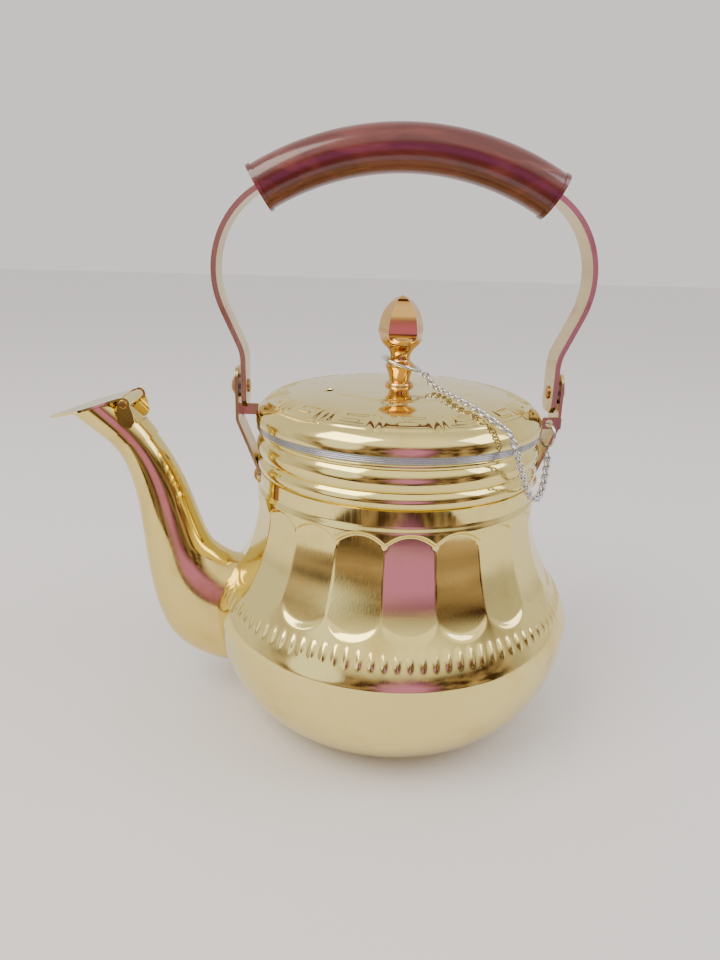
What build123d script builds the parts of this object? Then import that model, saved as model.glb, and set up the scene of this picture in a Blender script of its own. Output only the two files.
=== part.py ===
"""Bail-handled brass kettle with a fluted body, a swan-neck spout with a hinged flap,
a lift-off lid on a safety chain, and a strap bail with a moulded grip.

Millimetres, +Z up.  The origin is the middle of the flat bottom, the spout points to -X,
and the bail turns about an axis parallel to X.
"""

from build123d import *
import os
from math import cos, sin, tan, radians, degrees, hypot, pi

os.makedirs("parts", exist_ok=True)

# ------------------------------------------------------------------ vessel
base_radius = 40.0  # flat bottom
belly_radius = 82.2  # widest place, at the seam between the bowl and the upper body
belly_height = 51.0
bowl_wall = 1.2
seam_step = 0.35  # the upper body stands this far proud of the bowl
neck_radius = 61.5
neck_bottom = 112.0
neck_bore = 59.4  # radius inside the neck
belly_pull = 11.0  # how far the belly's curve runs straight up from the seam
neck_pull = 37.0  # how far the neck's curve runs straight down from the neck
upper_wall = 2.1  # wall at a ridge; a flute takes up to a millimetre of it
plain_band = 6.1  # plain band at the foot of the neck
ring_heights = (6.6, 9.1, 2.9)  # rolled rings, from the bottom one up
ring_bulges = (1.5, 1.7, 0.8)
ring_groove = 0.6  # the grooves between the rings lie this far inside the neck's radius
rim_height = 2.9
rim_radius = 62.3
rim_rib = 0.25  # depth of the fine ribs round the rim band
flute_count = 20
flute_turn = 2.0  # degrees, where the first flute stands beside -Y
flute_low = 67.5
flute_high = 108.8
flute_runout = 4.0  # height over which a flute runs out at each end
strainer_hole = 6.0  # diameter of the holes behind the spout

# ------------------------------------------------------------------ lid
lid_radius = 63.0
lid_rise = 14.6
lid_wall = 0.9
lid_gap = 0.15  # between the lid's edge and the rim that it rests on
collar_depth = 8.5
collar_wall = 1.0
collar_play = 0.3  # between the collar and the neck's bore
steam_hole = 4.2
steam_hole_at = (-30.6, -11.0)
knob_foot_radius = 6.4
knob_foot_height = 2.6
knob_height = 36.2
knob_radius = 10.2
knob_waist = 4.2
knob_collar = 6.4
knob_neck = 4.4  # radius where the knob stands on its foot
knob_bore = 2.05
knob_bore_depth = 11.0
screw_radius = 2.0
screw_head_radius = 4.2
screw_head_height = 2.4
lock_washer_radius = 5.6
lock_washer_thickness = 0.7
knob_ring_radius = 8.8  # to the middle of the wire
knob_ring_wire = 1.5
knob_ring_at = (0.7, 0.0, 9.8)  # middle of the ring, above the top of the lid
knob_ring_tilt = 18.0

# ------------------------------------------------------------------ bail
pivot_height = 153.0
strap_width = 14.7
strap_thickness = 2.2
tail_x = 67.4  # middle of the strap where it hangs beside the pivots
tail_drop = 8.4  # the strap ends this far under the pivot
tail_cut = 3.0  # cut corners of that end
tail_bend = 18.0
lean = 24.0  # degrees that the strap leans inwards below its widest place
side_bend = 37.5
grip_arc = 117.2  # radius of the arc that the grip follows
grip_half = 31.0  # degrees from the middle of the grip to each end
grip_sagitta_top = 250.0  # height of the grip's middle line at X = 0
grip_diameter = 19.0
grip_rim = 20.2  # diameter of the raised rim at each end of the grip
grip_rim_width = 1.6

# ------------------------------------------------------------------ brackets of the bail
bracket_sheet = 1.3
ear_gap = 1.3  # spacer between the strap and the ear
ear_width = 15.2
ear_top = 161.5
ear_bottom = 139.0
bracket_bend = 3.0
foot_top = 117.0
foot_bottom = 109.4
foot_bolt_height = 113.6
foot_bolt_spread = 4.2
foot_bolt_head = 6.4
foot_bolt_shank = 3.0
foot_bolt_dome = 1.6
lug_length = 5.6  # from the strap's outer face inwards
lug_low = 138.3
lug_high = 143.4
lug_hole = 3.3
lug_hole_in = 2.8  # from the lug's inner edge to the middle of its hole
pivot_shank = 2.5  # radius
pivot_play = 0.05
pivot_head = 4.8  # radius of the domed head
pivot_head_height = 2.4
pivot_end = 2.9  # radius of the peened end
pivot_end_height = 0.9
spacer_radius = 5.0

# ------------------------------------------------------------------ flap over the spout
flap_tip = (-154.4, 137.3)
flap_slope = 17.6
flap_length = 35.0
flap_width = 26.5
flap_sheet = 1.0
hinge_at = (-117.8, 146.0)
hinge_barrel = 2.2  # outer radius
hinge_pin = 1.25
hinge_play = 0.05
flap_gap = 0.3  # between the flap and the spout's mouth
cheek_inside = 11.6  # half the clear width between the cheeks of the saddle
cheek_sheet = 1.0
cheek_play = 0.25
pin_head = 1.9

# ------------------------------------------------------------------ chain
chain_diameter = 3.5
split_ring_radius = 5.2
split_ring_wire = 1.3
split_ring_turn = 20.0

seam_radius = belly_radius + seam_step
rings_bottom = neck_bottom + plain_band
rings_top = rings_bottom + sum(ring_heights)
rim_top = rings_top + rim_height
lid_edge = rim_top + lid_gap
lid_top = lid_edge + lid_rise
colours = {"brass": "#D9B95B", "steel": "#B9B9BD", "grip": "#7A2E22"}


def save(part, name, colour):
    """Label a finished piece, colour it and write its STEP file."""
    part.label = name
    part.color = Color(colours[colour])
    export_step(part, f"parts/{name}.step")


def curve_point(t, inset=0.0):
    """A point (radius, height) on the upper body's curve, for t from 0 at the seam to 1 at the neck."""
    weights = ((1 - t) ** 3, 3 * t * (1 - t) ** 2, 3 * t**2 * (1 - t), t**3)
    poles = upper_poles(inset)
    return tuple(sum(w * pole[k] for w, pole in zip(weights, poles)) for k in (0, 1))


def upper_poles(inset=0.0, top=None):
    """The four poles of the upper body's curve, drawn in by an inset."""
    low, high = seam_radius - inset, neck_radius - inset if top is None else top
    return (
        (low, belly_height),
        (low, belly_height + belly_pull),
        (high, neck_bottom - neck_pull),
        (high, neck_bottom),
    )


def radius_at(height):
    """Outer radius of the upper body at a height between the seam and the neck."""
    low, high = 0.0, 1.0
    for _ in range(40):
        middle = (low + high) / 2
        if curve_point(middle)[1] < height:
            low = middle
        else:
            high = middle
    return curve_point(low)[0]


def lid_height(radius, rim=lid_radius, rise=lid_rise):
    """Height of the pillow-shaped lid above its edge at a radius."""
    return rise * (1 - min(1.0, radius / rim) ** 3.5) ** 0.4


# ------------------------------------------------------------------ the vessel's shell
with BuildPart() as lower_bowl:
    with BuildSketch(Plane.XZ):
        with BuildLine():
            middle = (base_radius, belly_height)
            inner_a = belly_radius - base_radius - bowl_wall
            inner_b = belly_height - bowl_wall
            EllipticalCenterArc(middle, belly_radius - base_radius, belly_height, start_angle=270, arc_size=90)
            Line((belly_radius, belly_height), (belly_radius - bowl_wall, belly_height))
            EllipticalCenterArc(middle, inner_a, inner_b, start_angle=270, arc_size=90)
            Line((base_radius, bowl_wall), (0, bowl_wall))
            Line((0, bowl_wall), (0, 0))
            Line((0, 0), (base_radius, 0))
        make_face()
    revolve(axis=Axis.Z)
    with BuildSketch(Plane.YZ.offset(-belly_radius - 5)):
        with Locations((-8, 43), (0, 43), (8, 43), (-5, 33), (5, 33), (-4, 24), (4, 24)):
            Circle(strainer_hole / 2)
    extrude(amount=35, mode=Mode.SUBTRACT)
save(lower_bowl.part, "lower_bowl", "brass")

with BuildPart() as upper_body:
    with BuildSketch(Plane.XZ):
        with BuildLine():
            Bezier(*upper_poles())
            height = rings_bottom
            groove = neck_radius - ring_groove
            Line((neck_radius, neck_bottom), (neck_radius, height))
            Line((neck_radius, height), (groove, height))
            for ring_height, bulge in zip(ring_heights, ring_bulges):
                crest = (groove + bulge, height + ring_height / 2)
                ThreePointArc((groove, height), crest, (groove, height + ring_height))
                height += ring_height
            Line((groove, height), (neck_bore, height))
            Line((neck_bore, height), (neck_bore, neck_bottom))
            Bezier(*upper_poles(upper_wall, top=neck_bore))
            Line((seam_radius - upper_wall, belly_height), (seam_radius, belly_height))
        make_face()
    revolve(axis=Axis.Z)
    chord = cos(pi / flute_count)
    rise = flute_high - flute_low - 2 * flute_runout
    heights = [flute_low + flute_runout + rise * k / 3 for k in range(4)]
    for k in range(flute_count):
        angle = radians(flute_turn - 90 + 360 * k / flute_count)
        out = Vector(cos(angle), sin(angle), 0)
        with BuildSketch(Plane(origin=(0, 0, 0), x_dir=out, z_dir=out.cross(Vector(0, 0, 1)))):
            with BuildLine():
                low_end = (radius_at(flute_low) + 0.05, flute_low)
                high_end = (radius_at(flute_high) + 0.05, flute_high)
                Spline(low_end, *[(radius_at(z) * chord, z) for z in heights], high_end)
                far = seam_radius
                Polyline(high_end, (far, flute_high), (far, flute_low), low_end)
            make_face()
        extrude(amount=seam_radius * tan(pi / flute_count), both=True, mode=Mode.SUBTRACT)
save(upper_body.part, "upper_body", "brass")

with BuildPart() as rim_band:
    with BuildSketch(Plane.XZ):
        with BuildLine():
            step = rim_height / 4
            Polyline((rim_radius, rings_top), (neck_bore, rings_top), (neck_bore, rim_top), (rim_radius, rim_top))
            for k in range(4):
                top = rim_top - k * step
                middle = (rim_radius + rim_rib, top - step / 2)
                ThreePointArc((rim_radius, top), middle, (rim_radius, top - step))
        make_face()
    revolve(axis=Axis.Z)
save(rim_band.part, "rim_band", "steel")

# ------------------------------------------------------------------ the spout
spout_wall = 1.0
# Each station is its upper edge, its lower edge and half its width; the last one is the mouth.
spout_stations = (
    ((-62.0, 71.0), (-64.0, 16.0), 17.0),
    ((-74.0, 72.2), (-86.0, 18.6), 17.0),
    ((-78.0, 73.8), (-102.9, 28.9), 16.3),
    ((-82.8, 77.0), (-111.2, 45.5), 15.0),
    ((-87.0, 82.5), (-115.0, 67.0), 13.6),
    ((-92.2, 97.5), (-117.0, 91.0), 12.3),
    ((-99.5, 115.8), (-120.3, 111.0), 10.5),
    ((-106.8, 128.5), (-126.6, 124.5), 9.9),
    ((-113.2, 137.2), (-134.0, 131.2), 10.3),
    ((-121.6, 146.3), (-143.8, 139.25), 11.0),
)


def blended(stations):
    """The stations with one more between each two, on the smooth curve through them all."""
    rows = [(*upper, *lower, half_width) for upper, lower, half_width in stations]
    result = []
    for k in range(len(rows) - 1):
        before, here, there, after = (
            rows[min(max(k + step, 0), len(rows) - 1)] for step in (-1, 0, 1, 2)
        )
        result.append(here)
        result.append([(9 * (q + r) - p - w) / 16 for p, q, r, w in zip(before, here, there, after)])
    return result + [rows[-1]]


def station_plane(row):
    """The plane of a station, with its X axis from the lower edge to the upper one."""
    across = Vector(row[0] - row[2], 0, row[1] - row[3])
    middle = Vector((row[0] + row[2]) / 2, 0, (row[1] + row[3]) / 2)
    return Plane(origin=middle, x_dir=across, z_dir=across.cross(Vector(0, 1, 0)))


spout_rows = blended(spout_stations)
with BuildPart() as spout_block:
    for pair in zip(spout_rows, spout_rows[1:]):
        for row in pair:
            with BuildSketch(station_plane(row)):
                Ellipse(hypot(row[0] - row[2], row[1] - row[3]) / 2, row[4])
        loft()

with BuildPart() as spout:
    add(spout_block.part)
    for pair in zip(spout_rows, spout_rows[1:]):
        for row in pair:
            with BuildSketch(station_plane(row)):
                Ellipse(hypot(row[0] - row[2], row[1] - row[3]) / 2 - spout_wall, row[4] - spout_wall)
        loft(mode=Mode.SUBTRACT)
    with BuildSketch(Plane.XZ):
        with BuildLine():
            EllipticalCenterArc(
                (base_radius, belly_height), belly_radius - base_radius, belly_height, start_angle=270, arc_size=90
            )
            Line((belly_radius, belly_height), (seam_radius, belly_height))
            Bezier(*upper_poles())
            Polyline((neck_radius, neck_bottom), (0, neck_bottom), (0, 0), (base_radius, 0))
        make_face()
    revolve(axis=Axis.Z, mode=Mode.SUBTRACT)
save(spout.part, "spout", "brass")

# ------------------------------------------------------------------ the lid
with BuildPart() as lid_shell:
    with BuildSketch(Plane.XZ):
        with BuildLine():
            shares = [0.0, 0.25, 0.45, 0.62, 0.76, 0.87, 0.945, 0.985, 1.0]
            inner_rim = lid_radius - lid_wall
            inner_rise = lid_rise - lid_wall
            outside = [(q * lid_radius, lid_edge + lid_height(q * lid_radius)) for q in shares]
            Spline(*outside, tangents=((1, 0), (0, -1)))
            Line((lid_radius, lid_edge), (inner_rim, lid_edge))
            inner = [
                (q * inner_rim, lid_edge + lid_height(q * inner_rim, inner_rim, inner_rise))
                for q in shares
            ]
            Spline(*inner, tangents=((1, 0), (0, -1)))
            Line((0, lid_top - lid_wall), (0, lid_top))
        make_face()
    revolve(axis=Axis.Z)
    with BuildSketch(Plane.XY.offset(lid_edge)):
        with Locations(steam_hole_at):
            Circle(steam_hole / 2)
        Circle(screw_radius + 0.1)
    extrude(amount=lid_rise + 1, mode=Mode.SUBTRACT)
save(lid_shell.part, "lid_shell", "brass")

with BuildPart() as lid_collar:
    with BuildSketch(Plane.XZ):
        with BuildLine():
            outer = neck_bore - collar_play
            inside = outer - collar_wall
            flange = lid_radius - lid_wall - 0.3
            Polyline(
                (inside, lid_edge - collar_depth),
                (outer, lid_edge - collar_depth),
                (outer, lid_edge),
                (flange, lid_edge),
                (flange, lid_edge + collar_wall),
                (inside, lid_edge + collar_wall),
                close=True,
            )
        make_face()
    revolve(axis=Axis.Z)
save(lid_collar.part, "lid_collar", "brass")

with BuildPart() as knob_foot:
    with BuildSketch(Plane.XZ):
        with BuildLine():
            foot_top_z = lid_top + knob_foot_height
            low_z = lid_top
            neck = (knob_neck, foot_top_z)
            Polyline((knob_foot_radius, low_z), (knob_bore, low_z), (knob_bore, foot_top_z), neck)
            Spline(neck, (5.9, low_z + 1.6), (knob_foot_radius, low_z))
        make_face()
    revolve(axis=Axis.Z)
save(knob_foot.part, "knob_foot", "brass")

with BuildPart() as knob:
    with BuildSketch(Plane.XZ):
        with BuildLine():
            tip = foot_top_z + knob_height
            collar_z = foot_top_z + 6.5
            waist_z = foot_top_z + 9.9
            bore_top = (knob_bore, foot_top_z + knob_bore_depth)
            Polyline((knob_neck, foot_top_z), (knob_bore, foot_top_z), bore_top)
            Polyline(bore_top, (0, foot_top_z + knob_bore_depth), (0, tip))
            Spline(
                (0, tip),
                (5.9, tip - 4.6),
                (9.3, tip - 9.6),
                (knob_radius, tip - 14.4),
                (8.3, tip - 20.0),
                (knob_waist, waist_z),
                tangents=((0.9, -1), (-0.35, -1)),
            )
            Spline((knob_waist, waist_z), (5.0, collar_z + 1.7), (knob_collar, collar_z))
            Spline((knob_collar, collar_z), (5.2, collar_z - 3.0), (knob_neck, foot_top_z))
        make_face()
    revolve(axis=Axis.Z)
save(knob.part, "knob", "brass")

with BuildPart() as knob_washer:
    with BuildSketch(Plane.XY.offset(lid_top - lid_wall - lock_washer_thickness)):
        Circle(lock_washer_radius)
        Circle(screw_radius + 0.1, mode=Mode.SUBTRACT)
    extrude(amount=lock_washer_thickness)
save(knob_washer.part, "knob_washer", "steel")

with BuildPart() as knob_screw:
    head_top = lid_top - lid_wall - lock_washer_thickness
    with BuildSketch(Plane.XY.offset(head_top - screw_head_height)):
        Circle(screw_head_radius)
    extrude(amount=screw_head_height)
    with BuildSketch(Plane.XY.offset(head_top)):
        Circle(screw_radius)
    extrude(amount=foot_top_z + knob_bore_depth - 1.0 - head_top)
    with BuildSketch(Plane.XY.offset(head_top - screw_head_height)):
        Rectangle(2 * screw_head_radius + 1, 1.0)
    extrude(amount=1.0, mode=Mode.SUBTRACT)
save(knob_screw.part, "knob_screw", "steel")

with BuildPart() as knob_ring:
    with BuildSketch(Plane.XZ):
        with Locations((knob_ring_radius, 0)):
            Circle(knob_ring_wire / 2)
    revolve(axis=Axis.Z)
ring_place = Vector(knob_ring_at[0], knob_ring_at[1], lid_top + knob_ring_at[2])
knob_ring_part = knob_ring.part.rotate(Axis.Y, knob_ring_tilt).translate(ring_place)
save(knob_ring_part, "knob_ring", "steel")

# ------------------------------------------------------------------ the bail
arc_middle = grip_sagitta_top - grip_arc  # height of the centre of the grip's arc
grip_end = (grip_arc * sin(radians(grip_half)), arc_middle + grip_arc * cos(radians(grip_half)))
bend_middle = (
    grip_end[0] - side_bend * sin(radians(grip_half)),
    grip_end[1] - side_bend * cos(radians(grip_half)),
)
lean_start = (
    bend_middle[0] + side_bend * cos(radians(lean)),
    bend_middle[1] - side_bend * sin(radians(lean)),
)
corner = (tail_x, lean_start[1] - (lean_start[0] - tail_x) / tan(radians(lean)))
corner_run = tail_bend * tan(radians(lean / 2))
bend_start = (corner[0] + corner_run * sin(radians(lean)), corner[1] + corner_run * cos(radians(lean)))
bend_end = (tail_x, corner[1] - corner_run)
tail_end = (tail_x, pivot_height - tail_drop)

with BuildPart() as bail_strap:
    with BuildSketch(Plane.XZ):
        with BuildLine() as strap_line:
            quarter = radians(grip_half / 2)
            half_way = ((90 - grip_half) - lean) / 2
            for side in (1, -1):
                ThreePointArc(
                    (0, grip_sagitta_top),
                    (side * grip_arc * sin(quarter), arc_middle + grip_arc * cos(quarter)),
                    (side * grip_end[0], grip_end[1]),
                )
                ThreePointArc(
                    (side * grip_end[0], grip_end[1]),
                    (
                        side * (bend_middle[0] + side_bend * cos(radians(half_way))),
                        bend_middle[1] + side_bend * sin(radians(half_way)),
                    ),
                    (side * lean_start[0], lean_start[1]),
                )
                Line((side * lean_start[0], lean_start[1]), (side * bend_start[0], bend_start[1]))
                TangentArc(
                    (side * bend_start[0], bend_start[1]),
                    (side * bend_end[0], bend_end[1]),
                    tangent=(-side * sin(radians(lean)), -cos(radians(lean))),
                )
                Line((side * bend_end[0], bend_end[1]), (side * tail_end[0], tail_end[1]))
        trace(line_width=strap_thickness)
    extrude(amount=strap_width / 2, both=True)
    tail_corners = [
        edge
        for edge in bail_strap.edges().filter_by(Axis.X)
        if edge.center().Z < tail_end[1] + 0.01 and abs(abs(edge.center().Y) - strap_width / 2) < 0.01
    ]
    chamfer(tail_corners, length=tail_cut)
    with BuildSketch(Plane.YZ.offset(-tail_x - strap_thickness)):
        with Locations((0, pivot_height)):
            Circle(pivot_shank + pivot_play)
    extrude(amount=2 * (tail_x + strap_thickness), mode=Mode.SUBTRACT)
save(bail_strap.part, "bail_strap", "brass")

rim_half = degrees(grip_rim_width / grip_arc) / 2
# Each stretch of the grip is its radius, the angle of its middle, and half the angle that it spans.
grip_stretches = (
    (grip_diameter / 2, 0.0, grip_half),
    (grip_rim / 2, grip_half - rim_half, rim_half),
    (grip_rim / 2, rim_half - grip_half, rim_half),
)
with BuildPart() as grip:
    for radius, middle_angle, half in grip_stretches:
        start = radians(90 - middle_angle - half)
        out = Vector(cos(start), 0, sin(start))
        place = Vector(0, 0, arc_middle) + out * grip_arc
        with BuildSketch(Plane(origin=place, x_dir=out, z_dir=out.cross(Vector(0, 1, 0)))):
            Circle(radius)
        revolve(axis=Axis((0, 0, arc_middle), (0, -1, 0)), revolution_arc=2 * half)
    with BuildSketch(Plane.XZ):
        with Locations((0, arc_middle)):
            Circle(grip_arc + strap_thickness / 2)
            Circle(grip_arc - strap_thickness / 2, mode=Mode.SUBTRACT)
    extrude(amount=strap_width / 2, both=True, mode=Mode.SUBTRACT)
save(grip.part, "grip", "grip")

# ------------------------------------------------------------------ brackets, rivets and spacers
ear_inner = tail_x + strap_thickness / 2 + ear_gap
ear_middle = ear_inner + bracket_sheet / 2
foot_middle = neck_radius + bracket_sheet / 2 - 0.35

for side, name in ((-1, "left"), (1, "right")):
    with BuildPart() as bracket:
        with BuildSketch(Plane.XZ):
            with BuildLine():
                FilletPolyline(
                    (side * ear_middle, ear_top),
                    (side * ear_middle, ear_bottom),
                    (side * foot_middle, foot_top),
                    (side * foot_middle, foot_bottom),
                    radius=bracket_bend,
                )
            trace(line_width=bracket_sheet)
        extrude(amount=ear_width / 2, both=True)
        top_corners = [
            edge
            for edge in bracket.edges().filter_by(Axis.X)
            if (edge.center().Z > ear_top - 0.01 or edge.center().Z < foot_bottom + 0.01)
            and abs(abs(edge.center().Y) - ear_width / 2) < 0.01
        ]
        fillet(top_corners, radius=4.5)
        # the lug is folded inwards from the rear edge of the left ear and the front edge of the right one
        lug_y = -side * (ear_width / 2 + bracket_sheet / 2 - 0.01)
        with BuildSketch(Plane.XZ.offset(-lug_y)):
            lug_inner = tail_x + strap_thickness / 2 - lug_length
            lug_outer = ear_inner + bracket_sheet
            with Locations((side * (lug_inner + lug_outer) / 2, (lug_low + lug_high) / 2)):
                RectangleRounded(lug_outer - lug_inner, lug_high - lug_low, 0.6)
        extrude(amount=bracket_sheet / 2, both=True)
        if side > 0:
            with BuildSketch(Plane.XZ.offset(-lug_y)):
                with Locations((lug_inner + lug_hole_in, (lug_low + lug_high) / 2)):
                    Circle(lug_hole / 2)
            extrude(amount=bracket_sheet, both=True, mode=Mode.SUBTRACT)
        with BuildSketch(Plane.YZ.offset(side * ear_middle)):
            with Locations((0, pivot_height)):
                Circle(pivot_shank + 0.02)
        extrude(amount=bracket_sheet, both=True, mode=Mode.SUBTRACT)
        with BuildSketch(Plane.YZ.offset(side * foot_middle)):
            with Locations((-foot_bolt_spread, foot_bolt_height), (foot_bolt_spread, foot_bolt_height)):
                Circle(foot_bolt_shank / 2 + 0.02)
        extrude(amount=bracket_sheet, both=True, mode=Mode.SUBTRACT)
        with BuildSketch(Plane.XY.offset(foot_bottom - 3)):
            Circle(neck_radius + 0.01)
        extrude(amount=rings_bottom - foot_bottom + 3, mode=Mode.SUBTRACT)
    save(bracket.part, f"{name}_bracket", "brass")

    with BuildPart() as foot_rivets:
        head_face = foot_middle + bracket_sheet / 2
        shank_end = neck_radius - 0.3
        for y in (-foot_bolt_spread, foot_bolt_spread):
            with BuildSketch(Plane.XZ.offset(-y)):
                with BuildLine():
                    dome_top = (side * (head_face + foot_bolt_dome), foot_bolt_height)
                    dome_edge = (side * head_face, foot_bolt_height + foot_bolt_head / 2)
                    SagittaArc(dome_top, dome_edge, -side * 0.6)
                    Polyline(
                        dome_edge,
                        (side * head_face, foot_bolt_height + foot_bolt_shank / 2),
                        (side * shank_end, foot_bolt_height + foot_bolt_shank / 2),
                        (side * shank_end, foot_bolt_height),
                        dome_top,
                    )
                make_face()
            revolve(axis=Axis((0, y, foot_bolt_height), (1, 0, 0)))
        with BuildSketch(Plane.XY.offset(foot_bottom)):
            Circle(neck_radius + 0.01)
        extrude(amount=foot_top - foot_bottom, mode=Mode.SUBTRACT)
    save(foot_rivets.part, f"{name}_foot_rivets", "brass")

    with BuildPart() as pivot_rivet:
        head_face = ear_inner + bracket_sheet
        strap_inner = tail_x - strap_thickness / 2
        end_face = strap_inner - 0.1
        with BuildSketch(Plane.XZ.offset(0)):
            with BuildLine():
                Polyline(
                    (side * head_face, pivot_height),
                    (side * (head_face + pivot_head_height), pivot_height),
                )
                SagittaArc(
                    (side * (head_face + pivot_head_height), pivot_height),
                    (side * head_face, pivot_height + pivot_head),
                    side * -0.85,
                )
                Polyline(
                    (side * head_face, pivot_height + pivot_head),
                    (side * head_face, pivot_height + pivot_shank),
                    (side * end_face, pivot_height + pivot_shank),
                    (side * end_face, pivot_height + pivot_end),
                    (side * (end_face - pivot_end_height * 0.6), pivot_height + pivot_end),
                    (side * (end_face - pivot_end_height), pivot_height + pivot_end * 0.6),
                    (side * (end_face - pivot_end_height), pivot_height),
                    (side * head_face, pivot_height),
                )
            make_face()
        revolve(axis=Axis((0, 0, pivot_height), (1, 0, 0)))
    save(pivot_rivet.part, f"{name}_pivot_rivet", "brass")

    with BuildPart() as spacer:
        with BuildSketch(Plane.YZ.offset(side * ear_inner)):
            with Locations((0, pivot_height)):
                Circle(spacer_radius)
                Circle(pivot_shank + 0.02, mode=Mode.SUBTRACT)
        extrude(amount=-side * (ear_gap - 0.1))
    save(spacer.part, f"{name}_spacer", "steel")

# ------------------------------------------------------------------ the flap and its saddle
slope = radians(flap_slope)
along_flap = Vector(cos(slope), 0, sin(slope))
flap_normal = Vector(-sin(slope), 0, cos(slope))
flap_origin = Vector(flap_tip[0], 0, flap_tip[1]) - flap_normal * flap_sheet
flap_plane = Plane(origin=flap_origin, x_dir=along_flap, z_dir=flap_normal)
half_leaf = flap_width / 2
half_barrel = cheek_inside - cheek_play

with BuildPart() as spout_flap:
    with BuildSketch(flap_plane):
        with BuildLine():
            heel = (flap_length - 2.5, half_barrel - 0.6)
            Spline(
                (0, 0),
                (5.5, 5.2),
                (17.0, half_leaf - 0.4),
                (24.0, half_leaf),
                heel,
                tangents=((0.35, 1), (0.75, -0.45)),
            )
            Line(heel, (heel[0], -heel[1]))
            Spline(
                (heel[0], -heel[1]),
                (24.0, -half_leaf),
                (17.0, -half_leaf + 0.4),
                (5.5, -5.2),
                (0, 0),
                tangents=((-0.75, -0.45), (-0.35, 1)),
            )
        make_face()
    extrude(amount=flap_sheet)
    with BuildSketch(Plane.XZ.offset(-half_barrel)):
        with Locations(hinge_at):
            Circle(hinge_barrel)
        with BuildLine():
            start = flap_origin + along_flap * (flap_length - 5.0)
            end = flap_origin + along_flap * (flap_length + 1.5)
            Polyline(
                (start.X, start.Z),
                (end.X, end.Z),
                (end.X + flap_normal.X * flap_sheet, end.Z + flap_normal.Z * flap_sheet),
                (start.X + flap_normal.X * flap_sheet, start.Z + flap_normal.Z * flap_sheet),
                close=True,
            )
        make_face()
    extrude(amount=2 * half_barrel)
    with BuildSketch(Plane.XZ.offset(-half_barrel)):
        with Locations(hinge_at):
            Circle(hinge_pin + hinge_play)
    extrude(amount=2 * half_barrel, mode=Mode.SUBTRACT)
save(spout_flap.part, "spout_flap", "brass")

with BuildPart() as flap_saddle:
    for side in (1, -1):
        with BuildSketch(Plane.XZ.offset(side * cheek_inside)):
            with BuildLine():
                Spline(
                    (hinge_at[0] - 3.2, hinge_at[1]),
                    (hinge_at[0] - 2.4, hinge_at[1] - 7.0),
                    (hinge_at[0] - 4.0, hinge_at[1] - 13.0),
                    (hinge_at[0] + 1.0, hinge_at[1] - 14.5),
                    (hinge_at[0] + 6.5, hinge_at[1] - 12.5),
                )
                Line((hinge_at[0] + 6.5, hinge_at[1] - 12.5), (hinge_at[0] + 5.2, hinge_at[1] - 3.0))
                Spline(
                    (hinge_at[0] + 5.2, hinge_at[1] - 3.0),
                    (hinge_at[0] + 3.0, hinge_at[1] + 2.0),
                    (hinge_at[0], hinge_at[1] + 3.2),
                    (hinge_at[0] - 3.2, hinge_at[1]),
                )
            make_face()
            with Locations(hinge_at):
                Circle(hinge_pin + 0.02, mode=Mode.SUBTRACT)
        extrude(amount=side * cheek_sheet)
    with BuildSketch(Plane.XZ.offset(-cheek_inside - 0.01)):
        with BuildLine():
            Polyline(
                (hinge_at[0] + 6.5, hinge_at[1] - 12.5),
                (hinge_at[0] + 5.2, hinge_at[1] - 3.0),
                (hinge_at[0] + 5.2 - cheek_sheet, hinge_at[1] - 3.2),
                (hinge_at[0] + 6.5 - cheek_sheet, hinge_at[1] - 12.7),
                close=True,
            )
        make_face()
    extrude(amount=2 * cheek_inside + 0.02)
    add(spout_block.part, mode=Mode.SUBTRACT)
save(flap_saddle.part, "flap_saddle", "brass")

with BuildPart() as flap_pin:
    half_pin = cheek_inside + cheek_sheet
    with BuildSketch(Plane.XZ.offset(-half_pin)):
        with Locations(hinge_at):
            Circle(hinge_pin)
    extrude(amount=2 * half_pin)
    for side in (1, -1):
        with BuildSketch(Plane.XZ.offset(side * half_pin)):
            with Locations(hinge_at):
                Circle(pin_head)
        extrude(amount=side * 0.9, taper=30)
save(flap_pin.part, "flap_pin", "brass")

# ------------------------------------------------------------------ the split ring and the chain
lug_hole_at = Vector(lug_inner + lug_hole_in, -(ear_width / 2 + bracket_sheet / 2), (lug_low + lug_high) / 2)
turn = radians(split_ring_turn)
ring_along = Vector(-sin(turn), cos(turn), 0)
ring_middle = lug_hole_at - Vector(0, 0, split_ring_radius)
with BuildPart() as split_ring:
    with BuildSketch(Plane(origin=lug_hole_at, x_dir=(0, 0, 1), z_dir=ring_along)):
        Circle(split_ring_wire / 2)
    revolve(axis=Axis(ring_middle, ring_along.cross(Vector(0, 0, 1))))
save(split_ring.part, "split_ring", "steel")

# The chain lies over the lid, drops past its edge, and hangs in a loop below the split ring.
lid_route = (
    (10.6, -3.4, 160.6),
    (13.9, -10.0, 156.5),
    (17.6, -21.0, 156.1),
    (22.0, -33.5, 155.3),
    (28.3, -43.8, 153.0),
    (34.2, -49.6, 149.6),
    (38.3, -53.1, 147.0),
    (39.6, -53.6, 143.4),
)
hanging_route = (
    (39.6, -53.6, 143.4),
    (40.9, -54.1, 139.8),
    (43.6, -52.6, 132.8),
    (46.6, -49.4, 125.6),
    (50.2, -45.0, 119.4),
    (54.6, -39.2, 115.8),
    (58.6, -32.0, 116.4),
    (61.9, -24.0, 119.8),
    (64.4, -16.8, 124.2),
    (66.0, -11.2, 128.0),
)


def route_radii(points):
    """The radius of each bend: 0.45 of the shorter run, over the tangent of half the turn."""
    radii = []
    for before, here, after in zip(points, points[1:], points[2:]):
        first, second = Vector(here) - Vector(before), Vector(after) - Vector(here)
        half_turn = radians(first.get_angle(second)) / 2
        radii.append(0.45 * min(first.length, second.length) / tan(half_turn))
    return radii


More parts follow.
